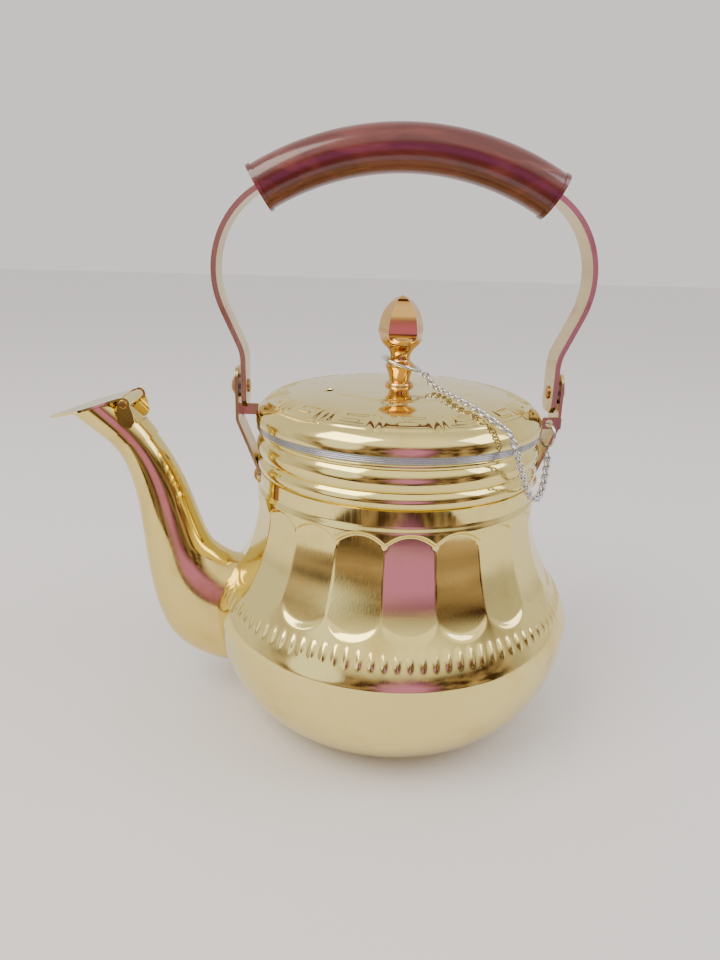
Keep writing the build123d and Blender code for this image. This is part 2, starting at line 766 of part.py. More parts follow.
for route, name in ((lid_route, "chain_over_lid"), (hanging_route, "chain_hanging")):
    with BuildPart() as chain:
        with BuildLine() as chain_line:
            FilletPolyline(*route, radius=route_radii(route))
        start = Vector(route[1]) - Vector(route[0])
        with BuildSketch(Plane(origin=route[0], z_dir=start)):
            Circle(chain_diameter / 2)
        sweep()
    print(name, "length", round(chain_line.wire().length, 1))
    save(chain.part, name, "steel")
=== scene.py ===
"""Looks of a bail-handled brass kettle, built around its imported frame.

Metres, +Z up, in the frame's own axes: the spout points to -X, the chain hangs on the -Y side.
Sizes in the classes are millimetres, and MM turns them to metres where a mesh is made.
"""

import logging
from dataclasses import dataclass
from enum import Enum
from math import cos, pi, radians, sin

import bpy
import numpy as np
from mathutils import Matrix, Vector


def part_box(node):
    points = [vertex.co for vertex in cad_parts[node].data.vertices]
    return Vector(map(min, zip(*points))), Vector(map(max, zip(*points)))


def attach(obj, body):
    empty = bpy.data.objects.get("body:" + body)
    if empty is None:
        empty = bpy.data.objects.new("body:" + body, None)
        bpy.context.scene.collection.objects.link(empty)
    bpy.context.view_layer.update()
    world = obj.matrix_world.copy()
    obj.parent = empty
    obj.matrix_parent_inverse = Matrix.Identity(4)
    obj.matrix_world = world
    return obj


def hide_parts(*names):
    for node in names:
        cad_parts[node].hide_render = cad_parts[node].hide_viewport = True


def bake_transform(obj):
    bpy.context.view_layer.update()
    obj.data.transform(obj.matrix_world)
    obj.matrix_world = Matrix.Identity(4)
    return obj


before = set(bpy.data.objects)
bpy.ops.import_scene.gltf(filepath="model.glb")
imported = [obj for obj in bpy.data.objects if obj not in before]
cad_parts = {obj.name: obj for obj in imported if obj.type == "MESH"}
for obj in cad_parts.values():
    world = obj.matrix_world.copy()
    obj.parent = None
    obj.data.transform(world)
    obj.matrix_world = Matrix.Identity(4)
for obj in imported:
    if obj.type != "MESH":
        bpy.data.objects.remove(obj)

LOG = logging.getLogger("kettle")
MM = 0.001


# ---------------------------------------------------------------- small helpers
def linear(hex_colour: str) -> tuple[float, float, float, float]:
    """Turn an sRGB hex colour into linear RGBA.

    Args:
        hex_colour: Six hex digits after a hash.

    Returns:
        The linear colour with an alpha of one.
    """
    shares = [int(hex_colour[k : k + 2], 16) / 255 for k in (1, 3, 5)]
    values = [c / 12.92 if c <= 0.04045 else ((c + 0.055) / 1.055) ** 2.4 for c in shares]
    return (values[0], values[1], values[2], 1.0)


def add_node(tree: bpy.types.NodeTree, kind: str, inputs: dict, **settings) -> bpy.types.Node:
    """Add a node with its settings, values and links.

    Args:
        tree: The node tree.
        kind: The node's type name.
        inputs: For each input, a value or the output socket to link from.
        **settings: Properties of the node itself.

    Returns:
        The new node.
    """
    node = tree.nodes.new(kind)
    for name, value in settings.items():
        setattr(node, name, value)
    for key, value in inputs.items():
        if isinstance(value, bpy.types.NodeSocket):
            tree.links.new(value, node.inputs[key])
        else:
            node.inputs[key].default_value = value
    return node


def ramp(
    tree: bpy.types.NodeTree,
    value: bpy.types.NodeSocket,
    start: float,
    end: float,
    low: float = 0.0,
    high: float = 1.0,
) -> bpy.types.NodeSocket:
    """Add a clamped ramp of a value.

    Args:
        tree: The node tree.
        value: The socket that the value comes from.
        start: The value that becomes low.
        end: The value that becomes high.
        low: One end of what comes out.
        high: The other end.

    Returns:
        The socket of the result.
    """
    ends = {"From Min": start, "From Max": end, "To Min": low, "To Max": high}
    return add_node(tree, "ShaderNodeMapRange", {"Value": value, **ends}).outputs["Result"]


def mixed(
    tree: bpy.types.NodeTree,
    share: bpy.types.NodeSocket,
    first: str | bpy.types.NodeSocket,
    second: str | bpy.types.NodeSocket,
) -> bpy.types.NodeSocket:
    """Mix two colours.

    Args:
        tree: The node tree.
        share: The socket of the second colour's share.
        first: An sRGB hex colour, or the socket that the colour comes from.
        second: The same for the second colour.

    Returns:
        The socket of the mixed colour.
    """
    node = add_node(tree, "ShaderNodeMix", {"Factor": share}, data_type="RGBA")
    for key, colour in ((6, first), (7, second)):
        if isinstance(colour, str):
            node.inputs[key].default_value = linear(colour)
        else:
            tree.links.new(colour, node.inputs[key])
    return node.outputs[2]


def new_material(name: str) -> tuple[bpy.types.Material, bpy.types.NodeTree, bpy.types.Node]:
    """Make a material with nodes.

    Args:
        name: The material's name.

    Returns:
        The material, its node tree and its main shader.
    """
    material = bpy.data.materials.new(name)
    material.use_nodes = True
    return material, material.node_tree, material.node_tree.nodes["Principled BSDF"]


def smooth_step(x: np.ndarray, low: float, high: float) -> np.ndarray:
    """Rise from 0 at low to 1 at high along 3t^2 - 2t^3."""
    t = np.clip((x - low) / (high - low), 0.0, 1.0)
    return t * t * (3 - 2 * t)


def natural_spline(knots: np.ndarray, values: np.ndarray, at: np.ndarray) -> np.ndarray:
    """Cubic through every row of values with continuous curvature and none at the ends.

    Args:
        knots: Rising parameters, one for each row.
        values: The rows to pass through.
        at: Parameters to work the curve out at.

    Returns:
        One row for each parameter.
    """
    step = np.diff(knots)
    count = len(knots)
    matrix = np.eye(count)
    right = np.zeros_like(values)
    for k in range(1, count - 1):
        matrix[k, k - 1 : k + 2] = step[k - 1], 2 * (step[k - 1] + step[k]), step[k]
        rise_after = (values[k + 1] - values[k]) / step[k]
        rise_before = (values[k] - values[k - 1]) / step[k - 1]
        right[k] = 6 * (rise_after - rise_before)
    bend = np.linalg.solve(matrix, right)
    k = np.clip(np.searchsorted(knots, at, side="right") - 1, 0, count - 2)
    h = step[k][:, None]
    a = (knots[k + 1] - at)[:, None] / h
    b = (at - knots[k])[:, None] / h
    curve = (a**3 - a) * bend[k] + (b**3 - b) * bend[k + 1]
    return a * values[k] + b * values[k + 1] + curve * h**2 / 6


def skin(
    name: str,
    rows: np.ndarray,
    ring: bool = False,
    poles: tuple[bool, bool] = (False, False),
    sharp_degrees: float = 40.0,
) -> bpy.types.Object:
    """Make a closed mesh from rows of points whose columns go once round.

    Args:
        name: The piece's name.
        rows: Points as rows, columns and XYZ, in millimetres.
        ring: The last row is joined to the first one.
        poles: Whether the first and the last row each shrink to one point.
        sharp_degrees: Edges that turn more than this stay sharp.

    Returns:
        The object, with its faces outwards.
    """
    count, columns = rows.shape[:2]
    index = np.arange(count * columns).reshape(count, columns)
    low = index if ring else index[:-1]
    high = np.roll(index, -1, axis=0) if ring else index[1:]
    quads = np.stack([low, np.roll(low, -1, 1), np.roll(high, -1, 1), high], -1)
    points = rows.reshape(-1, 3) * MM
    faces = quads.reshape(-1, 4).tolist()
    for end, row, turn in ((0, 0, 1), (1, count - 1, -1)):
        if poles[end]:
            tip = len(points)
            points = np.vstack([points, rows[row].mean(axis=0) * MM])
            fan = np.stack([np.full(columns, tip), np.roll(index[row], -1), index[row]], -1)
            faces += fan[:, ::turn].tolist()
    return mesh_object(name, points, faces, sharp_degrees)


def mesh_object(
    name: str, points: np.ndarray, faces: list[list[int]], sharp_degrees: float
) -> bpy.types.Object:
    """Put points and faces in a smooth-shaded mesh whose faces point outwards.

    Args:
        name: The piece's name.
        points: Points in metres.
        faces: Indices of each face.
        sharp_degrees: Edges that turn more than this stay sharp.

    Returns:
        The linked object, at the origin.
    """
    corners = np.array([(f[0], f[k], f[k + 1]) for f in faces for k in range(1, len(f) - 1)])
    a, b, c = (points[corners[:, k]] for k in range(3))
    if np.einsum("ij,ij->", a, np.cross(b, c)) < 0:
        faces = [face[::-1] for face in faces]
    mesh = bpy.data.meshes.new(name)
    mesh.from_pydata(points.tolist(), [], faces)
    mesh.shade_smooth()
    mesh.set_sharp_from_angle(angle=radians(sharp_degrees))
    piece = bpy.data.objects.new(name, mesh)
    bpy.context.scene.collection.objects.link(piece)
    return piece


def turned(profile: np.ndarray, angles: np.ndarray) -> np.ndarray:
    """Carry a profile of (radius, height) round Z: x = r cos, y = r sin."""
    radius, height = profile[:, 0][:, None], profile[:, 1][:, None]
    flat = np.broadcast_to(height, (len(profile), len(angles)))
    return np.stack([radius * np.cos(angles), radius * np.sin(angles), flat], -1)


def round_angles(count: int) -> np.ndarray:
    """Equal angles once round, from 0."""
    return np.arange(count) * 2 * pi / count


# ---------------------------------------------------------------- finishes
class Grain(Enum):
    """The way that the marks of polishing run."""

    UPRIGHT = "upright"
    TURNED = "turned"
    CLOUDED = "clouded"


@dataclass(frozen=True)
class Metal:
    """A polished or plated metal with its fine polishing marks, smears and scratches."""

    name: str
    colour: str
    worn_colour: str
    roughness: float
    roughness_spread: float
    grain: Grain
    grain_mm: float
    grain_depth: float
    upright_stretch: float = 60.0
    smear_mm: float = 18.0
    scratch_mm: tuple[float, float, float] = (9.0, 2.5, 30.0)
    scratch_turn: tuple[float, float, float] = (0.5, 0.9, 0.3)

    def grain_place(self, tree: bpy.types.NodeTree) -> bpy.types.NodeSocket:
        """Stretch the object's coordinates so that noise on them becomes this grain."""
        place = add_node(tree, "ShaderNodeTexCoord", {}).outputs["Object"]
        fine = 1 / (self.grain_mm * MM)
        if self.grain is Grain.TURNED:
            apart = add_node(tree, "ShaderNodeSeparateXYZ", {"Vector": place})
            flat = add_node(
                tree, "ShaderNodeCombineXYZ", {"X": apart.outputs["X"], "Y": apart.outputs["Y"]}
            )
            radius = add_node(tree, "ShaderNodeVectorMath", {0: flat.outputs[0]}, operation="LENGTH")
            place = add_node(
                tree,
                "ShaderNodeCombineXYZ",
                {"X": radius.outputs["Value"], "Z": apart.outputs["Z"]},
            ).outputs[0]
            scale = (fine, fine, fine)
        elif self.grain is Grain.UPRIGHT:
            scale = (fine, fine, fine / self.upright_stretch)
        else:
            scale = (fine, fine, fine)
        return add_node(
            tree, "ShaderNodeMapping", {"Vector": place, "Scale": scale}
        ).outputs["Vector"]

    def material(self) -> bpy.types.Material:
        """Build the material: smears change its roughness and colour, scratches its normal."""
        material, tree, shader = new_material(self.name)
        shader.inputs["Metallic"].default_value = 1.0
        place = add_node(tree, "ShaderNodeTexCoord", {}).outputs["Object"]
        grain = add_node(
            tree, "ShaderNodeTexNoise", {"Vector": self.grain_place(tree), "Scale": 1.0, "Detail": 3.0}
        ).outputs["Fac"]
        smears = add_node(
            tree, "ShaderNodeTexNoise", {"Vector": place, "Scale": 1 / (self.smear_mm * MM), "Detail": 5.0}
        ).outputs["Fac"]
        both = add_node(tree, "ShaderNodeMath", {0: grain, 1: smears}, operation="MULTIPLY").outputs[0]
        smoothest = max(0.02, self.roughness - self.roughness_spread)
        rough = ramp(tree, both, 0.12, 0.42, smoothest, self.roughness + self.roughness_spread)
        tree.links.new(rough, shader.inputs["Roughness"])
        wear = ramp(tree, smears, 0.55, 0.78)
        tree.links.new(mixed(tree, wear, self.colour, self.worn_colour), shader.inputs["Base Color"])
        # hairline scratches are the thin edges between the cells of a stretched pattern
        scale = tuple(1 / (size * MM) for size in self.scratch_mm)
        scratch_place = add_node(
            tree, "ShaderNodeMapping", {"Vector": place, "Scale": scale, "Rotation": self.scratch_turn}
        )
        cells = add_node(
            tree,
            "ShaderNodeTexVoronoi",
            {"Vector": scratch_place.outputs[0], "Scale": 1.0},
            feature="DISTANCE_TO_EDGE",
        )
        hairlines = ramp(tree, cells.outputs["Distance"], 0.0, 0.012)
        scratched = add_node(
            tree, "ShaderNodeBump", {"Height": hairlines, "Strength": 0.05, "Distance": 0.02 * MM}
        )
        bumped = add_node(
            tree,
            "ShaderNodeBump",
            {
                "Height": grain,
                "Normal": scratched.outputs["Normal"],
                "Strength": self.grain_depth,
                "Distance": 0.03 * MM,
            },
        )
        tree.links.new(bumped.outputs["Normal"], shader.inputs["Normal"])
        return material


@dataclass(frozen=True)
class MarbledPlastic:
    """Glossy moulded plastic whose two colours streak along the moulding."""

    name: str
    dark: str
    light: str
    roughness: float
    streak_mm: tuple[float, float, float] = (42.0, 9.0, 11.0)

    def material(self) -> bpy.types.Material:
        """Build the material: streaks change its colour and roughness."""
        material, tree, shader = new_material(self.name)
        shader.inputs["Coat Weight"].default_value = 0.4
        shader.inputs["Coat Roughness"].default_value = 0.08
        place = add_node(tree, "ShaderNodeTexCoord", {}).outputs["Object"]
        scale = tuple(1 / (size * MM) for size in self.streak_mm)
        along = add_node(tree, "ShaderNodeMapping", {"Vector": place, "Scale": scale})
        streaks = add_node(
            tree,
            "ShaderNodeTexNoise",
            {"Vector": along.outputs[0], "Scale": 1.0, "Detail": 6.0, "Distortion": 1.6},
        ).outputs["Fac"]
        share = ramp(tree, streaks, 0.47, 0.68)
        tree.links.new(mixed(tree, share, self.dark, self.light), shader.inputs["Base Color"])
        rough = ramp(tree, streaks, 0.0, 1.0, self.roughness - 0.06, self.roughness + 0.08)
        tree.links.new(rough, shader.inputs["Roughness"])
        fine = add_node(
            tree, "ShaderNodeTexNoise", {"Vector": place, "Scale": 1 / (1.5 * MM), "Detail": 2.0}
        )
        bumped = add_node(
            tree,
            "ShaderNodeBump",
            {"Height": fine.outputs["Fac"], "Strength": 0.06, "Distance": 0.1 * MM},
        )
        tree.links.new(bumped.outputs["Normal"], shader.inputs["Normal"])
        return material


# Brass of the body, mirror polished: pale yellow, with long upright polishing marks.
BODY_BRASS = Metal("brass_polished_upright", "#E9D88A", "#DCC474", 0.10, 0.05, Grain.UPRIGHT, 0.7, 0.25)
# The same brass with polishing marks that run round it.
SPUN_BRASS = Metal("brass_polished_turned", "#E9D88C", "#DCC474", 0.10, 0.04, Grain.TURNED, 0.6, 0.18)
# Brass of the spout, polished in no one direction.
SPOUT_BRASS = Metal("brass_hand_polished", "#E2CC7C", "#CFAE62", 0.10, 0.05, Grain.CLOUDED, 2.5, 0.12)
# Brass of the knob: a deeper orange gold.
KNOB_BRASS = Metal("brass_cast_lacquered", "#D6A862", "#B98A4C", 0.08, 0.04, Grain.CLOUDED, 3.0, 0.08)
# Rolled brass strip and sheet, duller, with lengthwise roller marks.
STRIP_BRASS = Metal("brass_rolled_strip", "#DAC28C", "#B9946A", 0.22, 0.08, Grain.UPRIGHT, 0.8, 0.35)
# Brass rivets, hammered over, darker in their hollows.
RIVET_BRASS = Metal("brass_hammered_rivet", "#BE9A5C", "#8F6A3C", 0.26, 0.08, Grain.CLOUDED, 1.2, 0.4)
# Tinned steel of the rim, ribbed and grey.
TINNED_STEEL = Metal("steel_tinned_ribbed", "#ADADB2", "#85858C", 0.22, 0.08, Grain.TURNED, 0.5, 0.3)
# Bright plated wire of the rings and the chain.
PLATED_WIRE = Metal("steel_nickel_plated", "#D3D3D6", "#A9A7A4", 0.12, 0.05, Grain.CLOUDED, 1.0, 0.12)
# Plain steel of the spacers, washer and screw.
PLAIN_STEEL = Metal("steel_plain", "#8B8A88", "#66625E", 0.35, 0.08, Grain.CLOUDED, 1.0, 0.3)
GRIP_PLASTIC = MarbledPlastic("phenolic_marbled", "#5E2420", "#7C3A32", 0.2)


# ---------------------------------------------------------------- the vessel
@dataclass
class VesselShape:
    """The outline that the body, the bowl and the spout's root share."""

    base_radius: float = 40.0
    belly_radius: float = 82.2
    seam_radius: float = 82.55
    seam_height: float = 51.0
    neck_radius: float = 61.5
    neck_height: float = 112.0
    belly_pull: float = 11.0
    neck_pull: float = 37.0

    def upper_curve(self, inset: float, top: float, count: int) -> np.ndarray:
        """Cubic Bezier from the seam, straight up at both ends, to the neck.

        Args:
            inset: How far the seam's end is drawn in.
            top: Radius of the neck's end.
            count: Number of points.

        Returns:
            Points of (radius, height).
        """
        t = np.linspace(0, 1, count)[:, None]
        low = self.seam_radius - inset
        poles = np.array(
            [
                (low, self.seam_height),
                (low, self.seam_height + self.belly_pull),
                (top, self.neck_height - self.neck_pull),
                (top, self.neck_height),
            ]
        )
        shares = np.hstack([(1 - t) ** 3, 3 * t * (1 - t) ** 2, 3 * t**2 * (1 - t), t**3])
        return shares @ poles

    def radius_at(self, height: np.ndarray) -> np.ndarray:
        """Outer radius at heights: a quarter ellipse to the seam, then the upper curve."""
        turn = np.linspace(0, pi / 2, 200)
        bowl = np.stack(
            [
                self.base_radius + (self.belly_radius - self.base_radius) * np.sin(turn),
                self.seam_height * (1 - np.cos(turn)),
            ],
            -1,
        )
        outline = np.vstack([bowl, self.upper_curve(0.0, self.neck_radius, 400)[1:]])
        return np.interp(height, outline[:, 1], outline[:, 0])


@dataclass
class FlutedBody:
    """The pressed upper body: beads, flat flutes, a shoulder, a plain band and rolled rings."""

    shape: VesselShape
    wall: float = 2.1
    bore: float = 59.4
    band: float = 6.1
    ring_heights: tuple[float, ...] = (6.6, 9.1, 2.9)
    ring_bulges: tuple[float, ...] = (1.5, 1.7, 0.8)
    groove: float = 0.6
    flutes: int = 20
    flute_turn: float = 2.0
    flute_low: float = 68.1
    flute_high: float = 108.9
    low_arch: float = 8.0
    high_arch: float = 4.2
    beads_per_flute: int = 5
    bead_low: float = 59.3
    bead_high: float = 67.2
    bead_width: float = 3.2
    bead_rise: float = 0.7
    shoulder: float = 0.95
    swell_low: float = 98.0
    swell_high: float = 104.9
    columns: int = 800

    def heights(self) -> np.ndarray:
        """Heights of the rows, closest where the beads and the flutes' ends are."""
        stretches = (
            (self.shape.seam_height, 58.5, 5),
            (58.5, 68.0, 19),
            (68.0, 78.0, 20),
            (78.0, 104.0, 13),
            (104.0, self.shape.neck_height, 22),
        )
        rows = [np.linspace(low, high, count, endpoint=False) for low, high, count in stretches]
        return np.concatenate(rows)

    def outside(self, angles: np.ndarray) -> np.ndarray:
        """Radius over height and angle, with the flutes, beads and shoulder pressed in it.

        A flute is the chord of its share of the circle, r = R cos(half) / cos(angle from its
        middle); it ends in an arch at the bottom and a flatter one at the top.  A bead is a
        bump (1 - u^2 - v^2)^2.  The shoulder swells only between and above the flutes.
        """
        height = self.heights()[:, None]
        full = self.shape.radius_at(height)
        half = pi / self.flutes
        first = radians(self.flute_turn - 90)
        off = (angles - first + half) % (2 * half) - half
        share = np.abs(off / half)[None, :]
        depth = full * (1 - cos(half) / np.cos(off)[None, :])
        low = self.flute_low + self.low_arch * (1 - np.sqrt(1 - np.minimum(share, 0.999) ** 2))
        high = self.flute_high - self.high_arch * share**2
        inside = smooth_step(height - low, 0.0, 2.6) * (1 - smooth_step(height - high, -1.5, 0.2))
        bead_half = half / self.beads_per_flute
        bead_off = (angles - first + bead_half) % (2 * bead_half) - bead_half
        u = bead_off[None, :] * full / (self.bead_width / 2)
        v = (height - (self.bead_low + self.bead_high) / 2) / ((self.bead_high - self.bead_low) / 2)
        bead = self.bead_rise * np.maximum(0.0, 1 - u**2 - v**2) ** 2
        swell = smooth_step(height, self.swell_low, self.swell_high)
        fall = 1 - smooth_step(height, self.flute_high + 0.2, self.shape.neck_height)
        return full - depth * inside + bead + self.shoulder * swell * fall * (1 - inside)

    def top_profile(self) -> np.ndarray:
        """Band, rolled rings as arcs, and the way back down inside to the seam."""
        shape = self.shape
        base = shape.neck_height + self.band
        inner = shape.neck_radius - self.groove
        points = [(shape.neck_radius, shape.neck_height), (shape.neck_radius, base - 0.05), (inner, base)]
        for tall, bulge in zip(self.ring_heights, self.ring_bulges):
            turn = np.linspace(0, 1, 9)[1:]
            points += [(inner + bulge * 4 * t * (1 - t), base + tall * t) for t in turn]
            base += tall
        points += [(self.bore, base), (self.bore, shape.neck_height)]
        down = shape.upper_curve(self.wall, self.bore, 14)[::-1]
        return np.vstack([np.array(points), down[1:]])

    def build(self) -> bpy.types.Object:
        """Make the body as one closed ring of rows."""
        angles = round_angles(self.columns)
        height = np.broadcast_to(self.heights()[:, None], (len(self.heights()), self.columns))
        radius = self.outside(angles)
        outside = np.stack([radius * np.cos(angles), radius * np.sin(angles), height], -1)
        rows = np.concatenate([outside, turned(self.top_profile(), angles)])
        return skin("fluted_body", rows, ring=True)


@dataclass
class SwanSpout:
    """The tapering spout: an ellipse carried along a curve, open at the mouth and the root."""

    shape: VesselShape
    wall: float = 1.0
    sunk: float = 0.9
    rows: int = 110
    columns: int = 96
    # each station is its upper edge, its lower edge and half its width; the last is the mouth
    stations: tuple[tuple[float, ...], ...] = (
        (-62.0, 71.0, -64.0, 16.0, 17.0),
        (-74.0, 72.2, -86.0, 18.6, 17.0),
        (-78.0, 73.8, -102.9, 28.9, 16.3),
        (-82.8, 77.0, -111.2, 45.5, 15.0),
        (-87.0, 82.5, -115.0, 67.0, 13.6),
        (-92.2, 97.5, -117.0, 91.0, 12.3),
        (-99.5, 115.8, -120.3, 111.0, 10.5),
        (-106.8, 128.5, -126.6, 124.5, 9.9),
        (-113.2, 137.2, -134.0, 131.2, 10.3),
        (-121.6, 146.3, -143.8, 139.25, 11.0),
    )

    def surface(self, share: np.ndarray, turn: np.ndarray, inset: float) -> np.ndarray:
        """Points at shares of the way along and turns round the section.

        The section is an ellipse: middle + across (a cos turn) + Y (b sin turn).
        """
        table = np.array(self.stations)
        middles = (table[:, 0:2] + table[:, 2:4]) / 2
        knots = np.concatenate([[0.0], np.cumsum(np.linalg.norm(np.diff(middles, axis=0), axis=1))])
        flat = natural_spline(knots / knots[-1], table, share.reshape(-1))
        flat = flat.reshape(share.shape + (5,))
        middle = (flat[..., 0:2] + flat[..., 2:4]) / 2
        across = (flat[..., 0:2] - flat[..., 2:4]) / 2
        length = np.linalg.norm(across, axis=-1)
        reach = (length - inset) / length * np.cos(turn)
        x = middle[..., 0] + across[..., 0] * reach
        z = middle[..., 1] + across[..., 1] * reach
        y = (flat[..., 4] - inset) * np.sin(turn)
        return np.stack([x, y, z], -1)

    def sleeve(self, inset: float) -> np.ndarray:
        """Rows from where each line leaves the vessel's wall to the mouth."""
        turn = round_angles(self.columns)[None, :]
        fine = np.linspace(0, 1, 600)[:, None]
        share, turns = np.broadcast_arrays(fine, turn)
        points = self.surface(share, turns, inset)
        gap = np.hypot(points[..., 0], points[..., 1]) - (
            self.shape.radius_at(points[..., 2]) - self.sunk
        )
        last = len(fine) - 1 - np.argmax((gap < 0)[::-1], axis=0)
        start = fine[np.minimum(last, len(fine) - 1), 0]
        steps = np.linspace(0, 1, self.rows)[:, None]
        share, turns = np.broadcast_arrays(start + steps * (1 - start), turn)
        return self.surface(share, turns, inset)

    def build(self) -> bpy.types.Object:
        """Make the spout: outer wall to the mouth, inner wall back to the root."""
        rows = np.concatenate([self.sleeve(0.0), self.sleeve(self.wall)[::-1]])
        return skin("swan_spout", rows, ring=True)


@dataclass
class FlapSaddle:
    """The saddle that holds the flap's pin: a sleeve bent over the spout, and two lugs."""

    spout: SwanSpout
    sheet: float = 0.9
    middle: float = 0.876
    half_length: float = 0.03
    droop: float = 0.012
    half_wrap: float = 98.0
    lug_inside: float = 11.6
    lug_radius: float = 2.7
    corner_from: float = 0.7
    corner_cut: float = 0.93
    hinge: tuple[float, float] = (-117.8, 146.0)
    # the foot's corners, measured from the hinge along X and Z
    lug_foot: tuple[tuple[float, float], ...] = (
        (-3.2, -5.0),
        (-2.6, -8.5),
        (-0.6, -10.6),
        (2.4, -10.4),
        (4.2, -8.0),
        (3.6, -4.0),
    )

    def sleeve(self) -> bpy.types.Object:
        """Make the sleeve: a thin loop carried round the spout's top.

        Half its length is L sqrt(1 - c u^2), and u rises from 0 to 1 over the last of the wrap.
        """
        turn = np.radians(np.linspace(-self.half_wrap, self.half_wrap, 41))[:, None]
        round_end = np.abs(turn) / np.radians(self.half_wrap)
        corner = np.clip((round_end - self.corner_from) / (1 - self.corner_from), 0, 1)
        reach = self.half_length * np.sqrt(1 - self.corner_cut * corner**2)
        t = np.linspace(-1, 1, 14)[None, :]
        share = self.middle - self.droop * round_end + t * reach
        share, turns = np.broadcast_arrays(share, turn)
        outer = self.spout.surface(share, turns, -self.sheet)
        inner = self.spout.surface(share, turns, 0.05)[:, ::-1]
        return skin("saddle_sleeve", np.concatenate([outer, inner], axis=1), poles=(True, True))

    def lug(self, side: int) -> bpy.types.Object:
        """Make one lug: a plate round the pin that narrows down on to the sleeve.

        Args:
            side: 1 on the +Y side, -1 on the other.
        """
        turn = np.radians(np.linspace(-15, 195, 18))
        x, z = self.hinge
        top = np.stack([x + self.lug_radius * np.cos(turn), z + self.lug_radius * np.sin(turn)], -1)
        foot = np.array(self.hinge) + np.array(self.lug_foot)
        outline = np.vstack([top, foot])
        faces = [self.lug_inside, self.lug_inside + self.sheet]
        rows = [np.insert(outline, 1, side * y, axis=1) for y in faces]
        return skin(f"saddle_lug_{'left' if side < 0 else 'right'}", np.array(rows), poles=(True, True))

    def build(self) -> list[bpy.types.Object]:
        """Make the sleeve and both lugs."""
        return [self.sleeve(), self.lug(1), self.lug(-1)]


# ---------------------------------------------------------------- the lid
@dataclass
class PressedLid:
    """The pillow-shaped lid with a raised middle and a key pattern pressed round it."""

    radius: float = 63.0
    edge: float = 139.75
    rise: float = 14.6
    wall: float = 0.9
    motifs: int = 15
    line_rise: float = 0.42
    line_half: float = 0.75
    middle_radius: float = 32.0
    middle_wave: float = 0.8
    middle_rise: float = 0.35
    middle_waves: int = 12
    band_radius: float = 53.0
    # strokes of one motif: shares of its pitch, and radii
    key_line: tuple[tuple[float, float], ...] = (
        (-0.38, 48.5),
        (-0.38, 57.2),
        (0.34, 57.2),
        (0.34, 49.6),
        (-0.14, 49.6),
        (-0.14, 53.6),
        (0.12, 53.6),
    )
    divider: tuple[tuple[float, float], ...] = ((0.5, 51.5), (0.5, 57.6))
    steam_hole: float = 4.2
    steam_at: tuple[float, float] = (-30.6, -11.0)
    columns: int = 720

    def height(self, radius: np.ndarray, rim: float, rise: float) -> np.ndarray:
        """Pillow: rise (1 - (r / rim)^3.5)^0.4."""
        return rise * (1 - np.minimum(1.0, radius / rim) ** 3.5) ** 0.4

    def pattern(self, radius: np.ndarray, angles: np.ndarray) -> np.ndarray:
        """Raised lines: a smooth ridge over the distance to the key pattern's strokes.

        A stroke is a straight run in the motif's own sheet, whose axes are the arc's length at
        the band's middle radius and the radius.
        """
        pitch = 2 * pi / self.motifs
        x = ((angles + pi / 2 + pitch / 2) % pitch - pitch / 2)[None, :] * self.band_radius
        y = radius[:, None]
        wide = pitch * self.band_radius
        lines = [self.key_line, self.divider, tuple((u - 1.0, v) for u, v in self.divider)]
        nearest = np.full(np.broadcast_shapes(x.shape, y.shape), 1e3)
        for line in lines:
            for (u0, v0), (u1, v1) in zip(line, line[1:]):
                ax, dx, dy = u0 * wide, (u1 - u0) * wide, v1 - v0
                along = np.clip(((x - ax) * dx + (y - v0) * dy) / (dx * dx + dy * dy), 0, 1)
                nearest = np.minimum(nearest, np.hypot(x - ax - along * dx, y - v0 - along * dy))
        ridge = self.line_rise * (1 - smooth_step(nearest, self.line_half * 0.4, self.line_half * 1.7))
        wave = self.middle_radius + self.middle_wave * np.sin(self.middle_waves * angles)[None, :]
        middle = self.middle_rise * (1 - smooth_step(y - wave, -0.9, 0.9))
        return ridge + middle

    def build(self) -> bpy.types.Object:
        """Make the lid's shell and cut the steam hole through it."""
        stretches = ((1.0, 29, 10), (29, 35, 14), (35, 46, 7), (46, 59.5, 38), (59.5, 62.9, 12))
        rows = [np.linspace(low, high, count, endpoint=False) for low, high, count in stretches]
        radius = np.concatenate(rows + [np.array([62.9, 62.985, self.radius])])
        angles = round_angles(self.columns)
        top = self.edge + self.height(radius, self.radius, self.rise)[:, None] + self.pattern(radius, angles)
        top[-1] = self.edge
        x, y = radius[:, None] * np.cos(angles), radius[:, None] * np.sin(angles)
        upper = np.stack([x, y, top], -1)
        inner = np.concatenate([np.linspace(1.0, 58, 14), np.linspace(60, self.radius - self.wall, 8)])
        low = self.edge + self.height(inner, self.radius - self.wall, self.rise - self.wall)
        under = turned(np.stack([inner, low], -1)[::-1], angles)
        lid = skin("pressed_lid", np.concatenate([upper, under]), poles=(True, True))
        return self.cut_steam_hole(lid)

    def cut_steam_hole(self, lid: bpy.types.Object) -> bpy.types.Object:
        """Cut a round hole straight through the shell and keep the result in the mesh."""
        angles = round_angles(24)
        profile = np.array([(self.steam_hole / 2, self.edge - 5), (self.steam_hole / 2, self.edge + 25)])
        rows = turned(profile, angles) + np.array([*self.steam_at, 0.0])
        drill = skin("steam_drill", rows, poles=(True, True))
        cut = lid.modifiers.new("steam_hole", "BOOLEAN")
        cut.object, cut.operation, cut.solver = drill, "DIFFERENCE", "EXACT"
        graph = bpy.context.evaluated_depsgraph_get()
        holed = bpy.data.meshes.new_from_object(lid.evaluated_get(graph))
        lid.modifiers.clear()
        lid.data = holed
        bpy.data.objects.remove(drill, do_unlink=True)
        return lid


